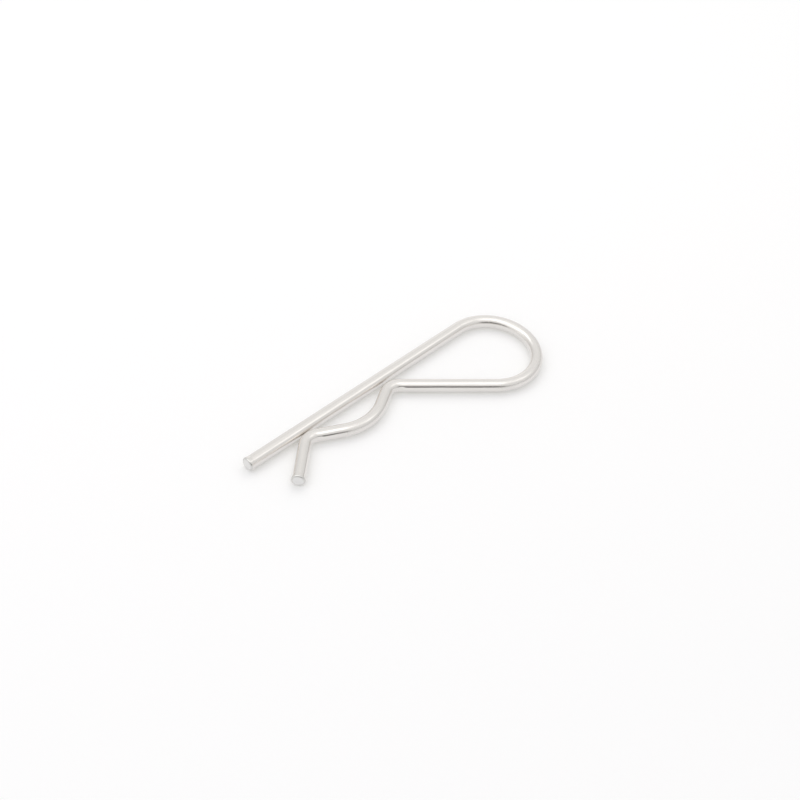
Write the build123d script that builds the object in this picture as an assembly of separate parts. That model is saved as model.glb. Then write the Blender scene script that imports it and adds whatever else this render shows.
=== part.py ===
"""Hitch R clip, in millimetres: one length of round spring wire bent flat into an R.

The straight leg goes through a cross hole in a shaft. The other leg comes back from a round
pull loop and snaps over the outside of the shaft: it is pinched towards the straight leg at
two humps, and the belly between them takes the shaft. A flared tail leads it on.

The clip lies flat on Z = 0, with its straight leg along X, its loop towards +X and its bent
leg towards -Y. The origin is under the middle of its bounding box.
"""
import os
from math import cos, radians, sin, tan

from build123d import *

# Driving sizes
wire_d = 2.5  # drawn spring wire
loop_inside_d = 16.0  # clear width of the pull loop
hump_1_gap = 0.6  # clear gap between the straight leg and the wire at hump 1
hump_2_gap = 0.1  # the same at hump 2, where the relaxed clip all but closes
seat_reach = 5.3  # from the straight leg's axis to the inside of the belly
hump_inside_r = 1.8
belly_inside_r = 9.0
lead_in_len = 13.1  # of the straight leg, from its free end to beside hump 2
tail_len = 8.85  # straight part of the tail

# Slopes of the bent leg, in degrees from the straight leg
throat_slope = 40.3  # down from the loop to hump 1
rise_slope = 29.5  # up from hump 1 to the belly
fall_slope = 27.0  # down from the belly to hump 2
tail_slope = 40.0  # up from hump 2 to the tip

# The cropped ends: the shears spread the wire a little, and tumbling rounds the rim
crop_len = 1.1  # length of wire that is spread
crop_spread = 0.15  # how far the rim stands out all round
crop_rim_r = 0.3  # rounding of the rim

# Centreline radii and heights above the straight leg's axis
wire_r = wire_d / 2
loop_r = loop_inside_d / 2 + wire_r
hump_r = hump_inside_r + wire_r
belly_r = belly_inside_r + wire_r
loop_height = 2 * loop_r
hump_1_height = wire_d + hump_1_gap
hump_2_height = wire_d + hump_2_gap
belly_height = seat_reach + wire_r


def s_bend(height, radii, slope_deg):
    """Length along the straight leg, and straight run, between the tops of two opposite bends.

    The tops differ by `height`, `radii` is the sum of the two bends' radii, and the straight run
    between the bends lies at the given slope.
    """
    slope = radians(slope_deg)
    along = radii * tan(slope / 2) + height / tan(slope)
    run = (height - radii * (1 - cos(slope))) / sin(slope)
    return along, run


throat_along, throat_run = s_bend(loop_height - hump_1_height, loop_r + hump_r, throat_slope)
rise_along, rise_run = s_bend(belly_height - hump_1_height, hump_r + belly_r, rise_slope)
fall_along, fall_run = s_bend(belly_height - hump_2_height, belly_r + hump_r, fall_slope)
straight_len = lead_in_len + fall_along + rise_along + throat_along

# The bent centreline, from the free end of the straight leg to the tip of the tail
with BuildLine() as centreline:
    straight_leg = Line((crop_len, 0), (straight_len, 0))
    loop = JernArc(straight_leg @ 1, straight_leg % 1, loop_r, -180 - throat_slope)
    throat = PolarLine(loop @ 1, throat_run, direction=loop % 1)
    hump_1 = JernArc(throat @ 1, throat % 1, hump_r, throat_slope + rise_slope)
    rise = PolarLine(hump_1 @ 1, rise_run, direction=hump_1 % 1)
    belly = JernArc(rise @ 1, rise % 1, belly_r, -rise_slope - fall_slope)
    fall = PolarLine(belly @ 1, fall_run, direction=belly % 1)
    hump_2 = JernArc(fall @ 1, fall % 1, hump_r, fall_slope + tail_slope)
    tail = PolarLine(hump_2 @ 1, tail_len - crop_len, direction=hump_2 % 1)


def cropped_end(tip, outward):
    """The last of the wire: it spreads towards the cut face, whose rim is rounded."""
    end = Cone(
        wire_r,
        wire_r + crop_spread,
        crop_len,
        align=(Align.CENTER, Align.CENTER, Align.MIN),
    )
    rim = end.edges().filter_by(GeomType.CIRCLE).sort_by(Axis.Z)[-1]
    return Plane(origin=tip, z_dir=outward) * fillet(rim, crop_rim_r)


wire_section = Plane(origin=straight_leg @ 0, z_dir=straight_leg % 0) * Circle(wire_r)
bent_wire = sweep(wire_section, path=centreline.wire())
clip = (
    bent_wire
    + cropped_end(straight_leg @ 0, (straight_leg % 0) * -1)
    + cropped_end(tail @ 1, tail % 1)
)

# Stand it on Z = 0, centred
box = clip.bounding_box()
clip = Pos(-box.center().X, -box.center().Y, -box.min.Z) * clip

os.makedirs("parts", exist_ok=True)
export_step(clip, "parts/clip_wire.step")
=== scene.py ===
"""Hitch R clip lying flat on a white table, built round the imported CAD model.

The wire is one fine mesh on the centreline of the CAD solid. To that solid's shape it adds what
the bending and cropping tools leave behind: wire that is squeezed a little oval in the bends, the
flats where tools pressed it, a faint groove where each end starts to spread, and two sheared end
faces. Lengths are in metres.
"""
from math import atan, cos, pi, radians, sin, tan

import bpy
import numpy as np
from mathutils import Matrix, Vector, noise


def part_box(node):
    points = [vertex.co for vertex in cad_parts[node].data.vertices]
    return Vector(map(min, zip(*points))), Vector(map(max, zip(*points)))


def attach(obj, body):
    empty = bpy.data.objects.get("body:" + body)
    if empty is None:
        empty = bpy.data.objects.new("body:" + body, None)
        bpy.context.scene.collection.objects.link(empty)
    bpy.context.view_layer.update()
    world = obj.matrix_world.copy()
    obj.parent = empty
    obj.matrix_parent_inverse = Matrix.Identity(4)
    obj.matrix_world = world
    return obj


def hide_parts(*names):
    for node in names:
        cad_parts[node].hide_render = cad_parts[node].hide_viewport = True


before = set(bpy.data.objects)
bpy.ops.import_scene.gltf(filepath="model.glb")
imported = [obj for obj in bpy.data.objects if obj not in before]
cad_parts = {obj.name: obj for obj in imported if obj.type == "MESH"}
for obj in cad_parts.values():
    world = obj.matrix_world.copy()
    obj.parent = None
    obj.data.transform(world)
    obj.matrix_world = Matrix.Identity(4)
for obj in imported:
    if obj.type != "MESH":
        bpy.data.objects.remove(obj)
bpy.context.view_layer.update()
MM = 0.001

# The wire's sizes, as in the CAD source
WIRE_R = 1.25 * MM
LOOP_R = 9.25 * MM
HUMP_R = 3.05 * MM
BELLY_R = 10.25 * MM
HUMP_1_HEIGHT = 3.1 * MM
HUMP_2_HEIGHT = 2.6 * MM
BELLY_HEIGHT = 6.55 * MM
LEAD_IN_LEN = 13.1 * MM
TAIL_LEN = 8.85 * MM
THROAT_SLOPE = radians(40.3)
RISE_SLOPE = radians(29.5)
FALL_SLOPE = radians(27.0)
TAIL_SLOPE = radians(40.0)
CROP_LEN = 1.1 * MM
CROP_SPREAD = 0.15 * MM
CROP_RIM_R = 0.3 * MM

# Where it lies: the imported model's box gives the rim's radius and the straight leg's tip
low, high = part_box("clip_wire")
RIM_R = (high.z - low.z) / 2
TIP = Vector((low.x, high.y - RIM_R, low.z + RIM_R))
UP = np.array([0, 0, 1.0])

# The mesh: rings of points round the wire
RING_POINTS = 72
RING_STEP = 0.2 * MM  # between the rings of the body
SPREAD_RINGS = 6  # where an end spreads
RIM_RINGS = 9  # on its rounded rim
FACE_RINGS = 12  # on its sheared face
CURVATURE_BLUR = 9  # rings over which a bend's squeeze sets in

# Tool marks. Angles go round the wire from its left side, over its top
LEFT, RIGHT = 0.0, pi
SQUEEZE = 0.045  # oval, as a share of the radius, where the bend's radius is the wire's width
SWELL = 0.35  # share of the oval that is gained in height, where the rest is lost in width
PRESS_LEN = 0.8 * MM  # half the length of a mark at a bend's end
GROOVE = 0.02 * MM  # depth where an end starts to spread

# The sheared faces: how deep each zone lies, and how close and high the torn zone's grain is
DISH = 0.035 * MM
BURNISHED_DEPTH = 0.02 * MM
TORN_DEPTH = 0.03 * MM
GRAIN_SCALE, GRAIN_HEIGHT = 3.1, 0.02 * MM
FINE_GRAIN_SCALE, FINE_GRAIN_HEIGHT = 8.0, 0.015 * MM

# The metal's colours: two that the clouding runs between, the painted shade of each end's rim, and
# each face
BRIGHT_METAL = (0.822, 0.795, 0.763, 1)
CLOUDED_METAL = (0.782, 0.755, 0.723, 1)
# painted shade: each end's rounded rim is darker, standing in for the dark ring round the ends
RIM_PAINTED_SHADE = (0.69, 0.68, 0.655, 1)
SHEARED_METAL = (0.82, 0.81, 0.795, 1)

# Its roughness, and what is added to it
SMOOTHEST, DULLEST = 0.14, 0.22
DULLER_BY = (("cut_face", 0.22), ("rim", 0.12), ("bent", 0.07))
DRAW_LINE_DEPTH = 0.004 * MM
PIT_DEPTH = 0.0015 * MM

# The table: the paint that the light falls on, and the paint and glow that are seen
TABLE_WIDTH = 4.0
TABLE_PAINT = (0.9, 0.9, 0.9, 1)
PAINT_IN_METAL, GLOW_IN_METAL = (0.30, 0.30, 0.285, 1), (0.68, 0.68, 0.70, 1)
PAINT_BY_CAMERA, GLOW_BY_CAMERA = (0.90, 0.90, 0.938, 1), (0.143, 0.14, 0.10, 1)
FAR_WHITE = (0.99, 0.99, 0.99, 1)
FADE_START, FADE_END = 0.05, 0.3  # distance from the clip over which it turns to that white

# The room as the metal shows it, in levels of grey, and as it lights the table
SKIRTING_LEVEL, WALL_LEVEL = 0.5, 0.8
SKIRTING_TOP = 0.22  # sine of the elevation up to which the one turns into the other
BRIGHT_PLACES = (  # azimuth, elevation, sharpness, level
    (0, 90, 2.5, 1.08),
    (45, 0, 10.0, 1.15),
    (148, 6, 14.0, 1.15),
)
ROOM_LIGHT = (0.62, 0.62, 0.643, 1)
LAMP_DISTANCE = 0.7
CARD_DISTANCE = 0.6


def s_bend(height, radii, slope):
    """Length along the straight leg, and straight run, between the tops of two opposite bends."""
    along = radii * tan(slope / 2) + height / tan(slope)
    run = (height - radii * (1 - cos(slope))) / sin(slope)
    return along, run


def bend(name, radius, turn):
    """A bent run, as wire_runs() lists it."""
    return name, radius * abs(turn), turn


def wire_runs():
    """Each run of the wire from tip to tip: (name, length, turn to the left in radians)."""
    throat_along, throat = s_bend(2 * LOOP_R - HUMP_1_HEIGHT, LOOP_R + HUMP_R, THROAT_SLOPE)
    rise_along, rise = s_bend(BELLY_HEIGHT - HUMP_1_HEIGHT, HUMP_R + BELLY_R, RISE_SLOPE)
    fall_along, fall = s_bend(BELLY_HEIGHT - HUMP_2_HEIGHT, BELLY_R + HUMP_R, FALL_SLOPE)
    return [
        ("straight_leg", LEAD_IN_LEN + fall_along + rise_along + throat_along, 0.0),
        bend("loop", LOOP_R, -pi - THROAT_SLOPE),
        ("throat", throat, 0.0),
        bend("hump_1", HUMP_R, THROAT_SLOPE + RISE_SLOPE),
        ("rise", rise, 0.0),
        bend("belly", BELLY_R, -RISE_SLOPE - FALL_SLOPE),
        ("fall", fall, 0.0),
        bend("hump_2", HUMP_R, FALL_SLOPE + TAIL_SLOPE),
        ("tail", TAIL_LEN, 0.0),
    ]


RUNS = wire_runs()
WIRE_LEN = sum(length for _, length, _ in RUNS)


def centreline(distance):
    """Place, heading and curvature of the wire at each distance from its first tip."""
    place = np.zeros((len(distance), 2))
    heading = np.zeros(len(distance))
    curvature = np.zeros(len(distance))
    start, at, towards = 0.0, np.array([TIP.x, TIP.y]), 0.0
    for _, length, turn in RUNS:
        here = distance >= start  # what lies beyond this run is set again by the next
        ahead = np.append(distance[here] - start, length)
        per_length = turn / length
        angle = towards + per_length * ahead
        if turn:
            across = np.stack([np.sin(angle) - sin(towards), cos(towards) - np.cos(angle)], 1)
            step = across / per_length
        else:
            step = ahead[:, None] * np.array([cos(towards), sin(towards)])
        place[here] = at + step[:-1]
        heading[here] = angle[:-1]
        curvature[here] = per_length
        at, towards, start = at + step[-1], towards + turn, start + length
    return place, heading, curvature


def smooth_step(value, start, end):
    """0 before start, 1 after end, and an even curve between them."""
    share = np.clip((value - start) / (end - start), 0, 1)
    return share * share * (3 - 2 * share)


def tool_marks():
    """The flats that bending tools leave: (distance, half length, side, depth).

    The humps are pressed round a pin, which marks the inside of each, and bit deepest where the
    bend starts. The loop and the belly are wider, and are held from outside at both ends.
    """
    marks = []
    start = 0.0
    for name, length, turn in RUNS:
        middle, end = start + length / 2, start + length
        inner, outer = (LEFT, RIGHT) if turn > 0 else (RIGHT, LEFT)
        if name.startswith("hump"):
            marks += [
                (start - 0.2 * MM, PRESS_LEN, inner, 0.16 * MM),
                (middle, 0.45 * length, inner, 0.055 * MM),
                (end + 0.4 * MM, PRESS_LEN, inner, 0.06 * MM),
            ]
        elif turn:
            marks += [
                (start - 0.9 * MM, PRESS_LEN, outer, 0.015 * MM),
                (middle, 0.3 * length, inner, 0.012 * MM),
                (end + 0.9 * MM, PRESS_LEN, outer, 0.015 * MM),
            ]
        start = end
    return marks


MARKS = tool_marks()


def body_radius(distance, angle, curvature):
    """Distance of the surface from the centreline, with the squeeze and the flats."""
    tightness = np.abs(curvature) * 2 * WIRE_R
    across = np.cos(angle) ** 2
    radius = WIRE_R * (1 - SQUEEZE * tightness * (across - SWELL))
    for centre, half_length, side, depth in MARKS:
        reach = 1 - smooth_step(np.abs(distance - centre), 0.5 * half_length, half_length)
        turned = np.abs((angle - side + pi) % (2 * pi) - pi)
        turned = np.minimum(turned, radians(60))  # from there on the flat lies clear of the wire
        radius = np.minimum(radius, (WIRE_R - depth * reach) / np.cos(turned))
    return radius


def end_profile():
    """The cropped end from the body to the face's edge: (distance from the tip, radius)."""
    spread = atan(CROP_SPREAD / CROP_LEN)
    turn = np.linspace(spread, -pi / 2, RIM_RINGS)
    rim_inset = CROP_RIM_R * (1 + np.sin(turn))
    rim_radius = RIM_R - CROP_RIM_R + CROP_RIM_R * np.cos(turn)
    cone_inset = np.linspace(CROP_LEN, rim_inset[0], SPREAD_RINGS)[:-1]
    cone_radius = WIRE_R + (CROP_LEN - cone_inset) * tan(spread)
    cone_radius[0] -= GROOVE
    return np.append(cone_inset, rim_inset), np.append(cone_radius, rim_radius)


def sheared_face(across, up, seed):
    """How far a sheared face lies below its tip plane, for places on it as shares of its radius.

    The blade burnished the first part of the cut, and the rest tore, rougher and a little lower.
    """
    dish = DISH * (1 - across**2 - up**2)
    torn = smooth_step(across + 0.25 * up, -0.25, 0.05)
    grain = noise.noise(Vector((GRAIN_SCALE * across, GRAIN_SCALE * up, seed)))
    fine = noise.noise(Vector((FINE_GRAIN_SCALE * across, FINE_GRAIN_SCALE * up, seed + 5)))
    torn_depth = TORN_DEPTH + GRAIN_HEIGHT * grain + FINE_GRAIN_HEIGHT * fine
    return dish + torn * torn_depth + (1 - torn) * BURNISHED_DEPTH


def band(first, second):
    """The faces between two rings, each given by the number of its first point."""
    for point in range(RING_POINTS):
        after = (point + 1) % RING_POINTS
        yield first + point, first + after, second + after, second + point


def fan(ring, middle):
    """The faces between a ring, given by the number of its first point, and a middle point."""
    for point in range(RING_POINTS):
        yield ring + point, ring + (point + 1) % RING_POINTS, middle


def add_attribute(mesh, name, values):
    """Store a number or a vector at each point of the mesh."""
    values = values.astype(np.float32)
    kind, field = ("FLOAT", "value") if values.ndim == 1 else ("FLOAT_VECTOR", "vector")
    mesh.attributes.new(name, kind, "POINT").data.foreach_set(field, values.ravel())


def wire_mesh():
    """The whole wire as one closed mesh, with what its material has to know at each point."""
    around = np.linspace(0, 2 * pi, RING_POINTS, endpoint=False)
    insets, radii = end_profile()
    body = np.linspace(CROP_LEN, WIRE_LEN - CROP_LEN, int((WIRE_LEN - 2 * CROP_LEN) / RING_STEP))
    body = body[1:-1]
    distance = np.concatenate([insets[::-1], body, WIRE_LEN - insets])
    place, heading, curvature = centreline(distance)
    blur = np.hanning(CURVATURE_BLUR) / np.hanning(CURVATURE_BLUR).sum()
    curvature = np.convolve(np.pad(curvature, CURVATURE_BLUR // 2, mode="edge"), blur, mode="valid")

    # The wall, ring by ring, and the same points unrolled: along the wire, and across it both ways
    ends = np.repeat(radii[:, None], RING_POINTS, axis=1)
    bent_by = curvature[len(radii) : -len(radii)]
    on_body = [body_radius(along, around, by) for along, by in zip(body, bent_by)]
    radius = np.concatenate([ends[::-1], on_body, ends])
    middle = np.column_stack([place, np.full(len(distance), TIP.z)])
    forward = np.column_stack([np.cos(heading), np.sin(heading), np.zeros(len(distance))])
    sideways = np.cross(UP, forward)
    outward = np.cos(around)[:, None] * sideways[:, None] + np.sin(around)[:, None] * UP
    vertices = [*(middle[:, None] + radius[..., None] * outward).reshape(-1, 3)]
    along = np.repeat(distance[:, None], RING_POINTS, axis=1)
    unrolled = np.stack([along, radius * np.cos(around), radius * np.sin(around)], 2)
    unrolled = [*unrolled.reshape(-1, 3)]
    faces = []
    for ring in range(len(distance) - 1):
        faces += band(ring * RING_POINTS, (ring + 1) * RING_POINTS)

    def close_end(end, out, seed):
        """A sheared face on the first or last ring: rings that close in on a middle point."""
        edge = end * RING_POINTS
        for ring in range(1, FACE_RINGS + 1):
            share = 1 - ring / FACE_RINGS
            first = len(vertices)
            for angle in around if share else around[:1]:
                across, up = share * cos(angle), share * sin(angle)
                inset = smooth_step(share, 1.0, 0.9) * sheared_face(across, up, seed)
                on_plane = middle[end] + radii[-1] * (across * sideways[end] + up * UP)
                vertices.append(on_plane - inset * out)
                unrolled.append(np.array([distance[end], radii[-1] * across, radii[-1] * up]))
            new_faces = band(edge, first) if share else fan(edge, first)
            # On the first end they are turned over, to face outwards as well
            faces.extend(face if end else face[::-1] for face in new_faces)
            edge = first

    last = len(distance) - 1
    close_end(0, -forward[0], seed=1.0)
    close_end(last, forward[last], seed=9.0)

    mesh = bpy.data.meshes.new("bent_wire")
    mesh.from_pydata([tuple(v) for v in vertices], [], faces)
    mesh.validate()
    mesh.update()
    mesh.shade_smooth()

    def at_points(on_rings, on_faces):
        """A value for each ring of the wall, and one for both end faces, at all points."""
        wall = np.repeat(on_rings, RING_POINTS)
        return np.append(wall, np.full(len(vertices) - len(wall), on_faces))

    from_tip = np.minimum(distance, WIRE_LEN - distance)
    # The rounded rims: duller, and darker by painted shade
    rim = 1 - smooth_step(from_tip, 0.8 * CROP_RIM_R, 1.3 * CROP_RIM_R)
    bent = smooth_step(np.abs(curvature) * LOOP_R, 0.0, 1.0)
    add_attribute(mesh, "unrolled", np.array(unrolled) / MM)
    add_attribute(mesh, "cut_face", at_points(np.zeros(len(distance)), 1.0))
    add_attribute(mesh, "rim", at_points(rim, 0.0))
    add_attribute(mesh, "bent", at_points(bent, 0.0))
    return mesh


def node_adder(owner):
    """Empty the node tree of a material or world, and return a function that adds a node to it.

    The function takes the node's kind, its inputs, each a value or another node's output, and the
    node's settings.
    """
    owner.use_nodes = True
    tree = owner.node_tree
    tree.nodes.clear()

    def add(kind, inputs=None, **settings):
        node = tree.nodes.new("ShaderNode" + kind)
        for setting, value in settings.items():
            setattr(node, setting, value)
        for socket, value in (inputs or {}).items():
            if isinstance(value, bpy.types.NodeSocket):
                tree.links.new(value, node.inputs[socket])
            else:
                node.inputs[socket].default_value = value
        return node.outputs

    return add


def plated_wire():
    """Bright drawn wire: fine lines along it, faint clouding, duller bends and sheared ends."""
    material = bpy.data.materials.new("plated_spring_wire")
    add = node_adder(material)
    unrolled = add("Attribute", attribute_name="unrolled")["Vector"]

    def share_of(name):
        return add("Attribute", attribute_name=name)["Fac"]

    def noise_on(stretch, scale, detail):
        place = add("Mapping", {"Vector": unrolled, "Scale": stretch})["Vector"]
        return add("TexNoise", {"Vector": place, "Scale": scale, "Detail": detail})["Fac"]

    def mix(factor, first, second):
        colours = {"Factor": factor, "A": first, "B": second}
        return add("Mix", colours, data_type="RGBA")["Result"]

    draw_lines = noise_on((0.02, 1.0, 1.0), 9.0, 3.0)
    clouding = noise_on((0.35, 1.0, 1.0), 0.9, 2.0)
    grain = noise_on((1.0, 1.0, 1.0), 7.0, 4.0)

    tone = mix(clouding, BRIGHT_METAL, CLOUDED_METAL)
    # painted shade: the rims take a darker tone
    tone = mix(share_of("rim"), tone, RIM_PAINTED_SHADE)
    tone = mix(share_of("cut_face"), tone, SHEARED_METAL)

    shine = {"From Min": 0.3, "From Max": 0.7, "To Min": SMOOTHEST, "To Max": DULLEST}
    roughness = add("MapRange", {"Value": clouding, **shine})["Result"]
    for name, extra in DULLER_BY:
        duller = {0: share_of(name), 1: extra, 2: roughness}
        roughness = add("Math", duller, operation="MULTIPLY_ADD")["Value"]

    lines = add("Bump", {"Height": draw_lines, "Distance": DRAW_LINE_DEPTH})["Normal"]
    pits = add("Bump", {"Height": grain, "Distance": PIT_DEPTH, "Normal": lines})["Normal"]
    surface = {"Base Color": tone, "Metallic": 1.0, "Roughness": roughness, "Normal": pits}
    add("OutputMaterial", {"Surface": add("BsdfPrincipled", surface)["BSDF"]})
    return material


def pale_table():
    """White table. The room's light falls on plain paint, and what the camera or the metal sees of
    it is lifted to white, as in a brightly exposed photograph, and keeps the wire's shadow."""
    material = bpy.data.materials.new("white_table")
    add = node_adder(material)

    def paint(colour):
        return add("BsdfDiffuse", {"Color": colour})["BSDF"]

    def glow(colour):
        return add("Emission", {"Color": colour})["Emission"]

    def mix(factor, first, second):
        return add("MixShader", {"Fac": factor, 1: first, 2: second})["Shader"]

    place = add("TexCoord")["Object"]
    from_clip = add("VectorMath", {0: place}, operation="LENGTH")["Value"]
    fade = {"Value": from_clip, "From Min": FADE_START, "From Max": FADE_END}
    far_off = add("MapRange", fade, interpolation_type="SMOOTHSTEP")["Result"]
    white = glow(FAR_WHITE)

    def lifted(colour, lift):
        """Paint with a glow, which fades to plain white far off, where the lamps don't reach."""
        near_by = add("AddShader", {0: paint(colour), 1: glow(lift)})["Shader"]
        return mix(far_off, near_by, white)

    path = add("LightPath")
    either = {0: path["Is Glossy Ray"], 1: path["Is Transmission Ray"]}
    mirrored = add("Math", either, operation="MAXIMUM")["Value"]
    surface = mix(mirrored, paint(TABLE_PAINT), lifted(PAINT_IN_METAL, GLOW_IN_METAL))
    surface = mix(path["Is Camera Ray"], surface, lifted(PAINT_BY_CAMERA, GLOW_BY_CAMERA))
    add("OutputMaterial", {"Surface": surface})
    return material


def facing(azimuth, elevation):
    """Unit vector from the clip towards a place in the room, in degrees from +X and the table."""
    a, e = radians(azimuth), radians(elevation)
    return Vector((cos(a) * cos(e), sin(a) * cos(e), sin(e)))


def studio_world():
    """The room as the metal shows it: dim low down, brighter overhead, and with two bright walls.
    It lights the table less."""
    world = bpy.data.worlds.new("studio")
    add = node_adder(world)
    direction = add("TexCoord")["Generated"]

    def grey(value):
        return (value, value, value, 1)

    def blend(factor, first, second):
        colours = {"Factor": factor, "A": first, "B": second}
        return add("Mix", colours, data_type="RGBA")["Result"]

    def near(towards, sharpness):
        """1 in a direction, fading to 0 at right angles to it."""
        dot = add("VectorMath", {0: direction, 1: towards}, operation="DOT_PRODUCT")["Value"]
        front = add("Math", {0: dot, 1: 0.0}, operation="MAXIMUM")["Value"]
        return add("Math", {0: front, 1: sharpness}, operation="POWER")["Value"]

    height = add("SeparateXYZ", {"Vector": direction})["Z"]
    skirting = {"Value": height, "From Max": SKIRTING_TOP}
    above_skirting = add("MapRange", skirting, interpolation_type="SMOOTHSTEP")["Result"]
    room = blend(above_skirting, grey(SKIRTING_LEVEL), grey(WALL_LEVEL))
    for azimuth, elevation, sharpness, level in BRIGHT_PLACES:
        room = blend(near(facing(azimuth, elevation), sharpness), room, grey(level))
    room = blend(add("LightPath")["Is Diffuse Ray"], room, ROOM_LIGHT)
    add("OutputWorld", {"Surface": add("Background", {"Color": room})["Background"]})
    return world


def place_in_room(thing, azimuth, elevation, distance):
    """Add a lamp or card to the scene, flat on to the clip and unseen by the camera."""
    bpy.context.scene.collection.objects.link(thing)
    direction = facing(azimuth, elevation)
    thing.location = direction * distance
    thing.rotation_euler = direction.to_track_quat("Z", "Y").to_euler()
    thing.visible_camera = False


def softbox(name, azimuth, elevation, width, height, radiance, colour=(1, 1, 1), mirrored=True):
    """A flat soft lamp that faces the clip."""
    lamp = bpy.data.lights.new(name, "AREA")
    lamp.shape = "RECTANGLE"
    lamp.size, lamp.size_y = width, height
    lamp.energy = radiance * pi * width * height
    lamp.color = colour
    holder = bpy.data.objects.new(name, lamp)
    holder.visible_glossy = mirrored
    place_in_room(holder, azimuth, elevation, LAMP_DISTANCE)


def rectangle(name, width, height, material):
    """A flat rectangle round the origin."""
    mesh = bpy.data.meshes.new(name)
    x, y = width / 2, height / 2
    mesh.from_pydata([(-x, -y, 0), (x, -y, 0), (x, y, 0), (-x, y, 0)], [], [(0, 1, 2, 3)])
    mesh.materials.append(material)
    return bpy.data.objects.new(name, mesh)


def card(name, azimuth, elevation, width, height, tone):
    """A dark card that only the shiny wire sees, as photographers use to draw an edge."""
    material = bpy.data.materials.new(name)
    add = node_adder(material)
    add("OutputMaterial", {"Surface": add("Emission", {"Color": tone})["Emission"]})
    sheet = rectangle(name, width, height, material)
    sheet.visible_diffuse = False
    sheet.visible_shadow = False
    place_in_room(sheet, azimuth, elevation, CARD_DISTANCE)


wire = bpy.data.objects.new("bent_wire", wire_mesh())
bpy.context.scene.collection.objects.link(wire)
wire.data.materials.append(plated_wire())
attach(wire, "root")
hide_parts("clip_wire")

floor = rectangle("table", TABLE_WIDTH, TABLE_WIDTH, pale_table())
bpy.context.scene.collection.objects.link(floor)

# Light. Each lamp and the card: azimuth, elevation, width, height, and radiance or tone
scene = bpy.context.scene
scene.world = studio_world()
softbox("key", 125, 52, 0.65, 0.38, 0.6)
softbox("side", -178, 42, 0.5, 0.5, 0.3)
softbox("overhead", -130, 76, 0.5, 0.42, 0.5)
softbox("fill", -38, 50, 0.3, 0.25, 0.3)
softbox("back", 40, 52, 0.8, 0.45, 1.1, colour=(1, 0.98, 0.88), mirrored=False)
card("camera_side", -137, 13, 0.82, 0.29, (0.15, 0.1455, 0.1395, 1))
scene.view_settings.view_transform = "Standard"

# Camera, fitted to the clip's outline in the photograph
CAMERA_AZIMUTH = -140.107  # where it stands, in degrees from +X
CAMERA_ELEVATION = 45.881
CAMERA_ROLL = 6.913
CAMERA_DISTANCE = 252.42 * MM
CAMERA_AIM = Vector((0.347, 3.279, 0.118)) * MM
CAMERA_LENS = 58.5  # in mm, on a sensor 36 mm wide

camera_data = bpy.data.cameras.new("camera")
camera_data.lens = CAMERA_LENS
camera_data.sensor_width = 36.0
camera_data.clip_start, camera_data.clip_end = 0.01, 10.0
camera = bpy.data.objects.new("camera", camera_data)
scene.collection.objects.link(camera)
back = facing(CAMERA_AZIMUTH, CAMERA_ELEVATION)
upright = (-back).to_track_quat("-Z", "Y").to_matrix()
roll = Matrix.Rotation(radians(CAMERA_ROLL), 3, "Z")
stand = Matrix.Translation(CAMERA_AIM + back * CAMERA_DISTANCE)
camera.matrix_world = stand @ (upright @ roll).to_4x4()
scene.camera = camera
